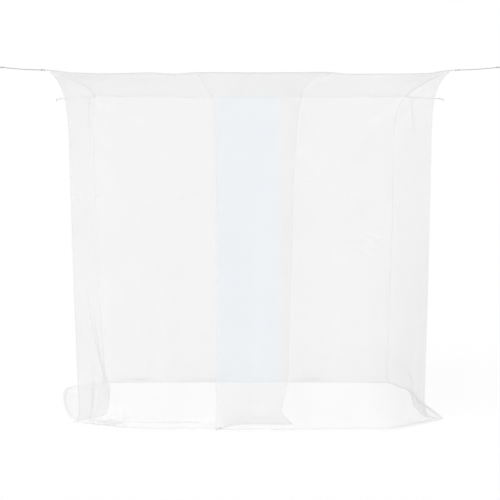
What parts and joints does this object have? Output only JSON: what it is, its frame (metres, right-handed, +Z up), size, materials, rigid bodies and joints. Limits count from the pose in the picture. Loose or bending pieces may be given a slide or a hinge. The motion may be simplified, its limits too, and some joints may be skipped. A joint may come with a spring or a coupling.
{
  "type": "hanging mosquito net",
  "caption": "Box mosquito net for a double bed, hung by cords from its roof corners, with overlapping curtain doors in front and a loose skirt on the floor.",
  "frame": {"origin": "on the floor, under the middle of the roof", "axes": "+Z up, -Y out of the front with the overlapping doors, +X to the right seen from the front"},
  "size_m": [2.75, 2.426, 2.015],
  "materials": {
    "netting": "matte",
    "tape": "matte",
    "hem": "matte",
    "webbing": "matte",
    "cord": "matte",
    "hook_plastic": "satin",
    "pad_foam": "matte"
  },
  "bodies": {
    "root": {"roof_panel": "netting", "rear_wall": "netting", "left_wall": "netting", "right_wall": "netting", "left_front_panel": "netting", "right_front_panel": "netting", "roof_tape_front": "tape", "roof_tape_rear": "tape", "roof_tape_left": "tape", "roof_tape_right": "tape", "rear_hem": "hem", "left_hem": "hem", "right_hem": "hem", "left_front_hem": "hem", "right_front_hem": "hem", "left_upper_binding": "tape", "right_upper_binding": "tape", "corner_tape_front_left": "tape", "corner_loop_front_left": "webbing", "cord_front_left": "cord", "loop_knot_front_left": "cord", "hook_knot_front_left": "cord", "wall_hook_front_left": "hook_plastic", "adhesive_pad_front_left": "pad_foam", "corner_tape_front_right": "tape", "corner_loop_front_right": "webbing", "cord_front_right": "cord", "loop_knot_front_right": "cord", "hook_knot_front_right": "cord", "wall_hook_front_right": "hook_plastic", "adhesive_pad_front_right": "pad_foam", "corner_tape_rear_left": "tape", "corner_loop_rear_left": "webbing", "cord_rear_left": "cord", "loop_knot_rear_left": "cord", "hook_knot_rear_left": "cord", "wall_hook_rear_left": "hook_plastic", "adhesive_pad_rear_left": "pad_foam", "corner_tape_rear_right": "tape", "corner_loop_rear_right": "webbing", "cord_rear_right": "cord", "loop_knot_rear_right": "cord", "hook_knot_rear_right": "cord", "wall_hook_rear_right": "hook_plastic", "adhesive_pad_rear_right": "pad_foam", "cord_tail_rear_left": "cord", "cord_tail_rear_right": "cord"},
    "left_door": {"left_door_flap": "netting", "left_door_hem": "hem", "left_door_binding": "tape"},
    "right_door": {"right_door_flap": "netting", "right_door_hem": "hem", "right_door_binding": "tape"}
  },
  "joints": [
    {"name": "left_door_fold", "type": "hinge", "parent": "root", "child": "left_door", "pos_m": [-0.62, -0.97019, 0.035], "axis": [0.4588, -0.0049, 0.8885], "range_deg": [0, 110]},
    {"name": "right_door_fold", "type": "hinge", "parent": "root", "child": "right_door", "pos_m": [0.62, -0.99981, 0.035], "axis": [-0.4294, 0.005, 0.9031], "range_deg": [0, 110]}
  ]
}
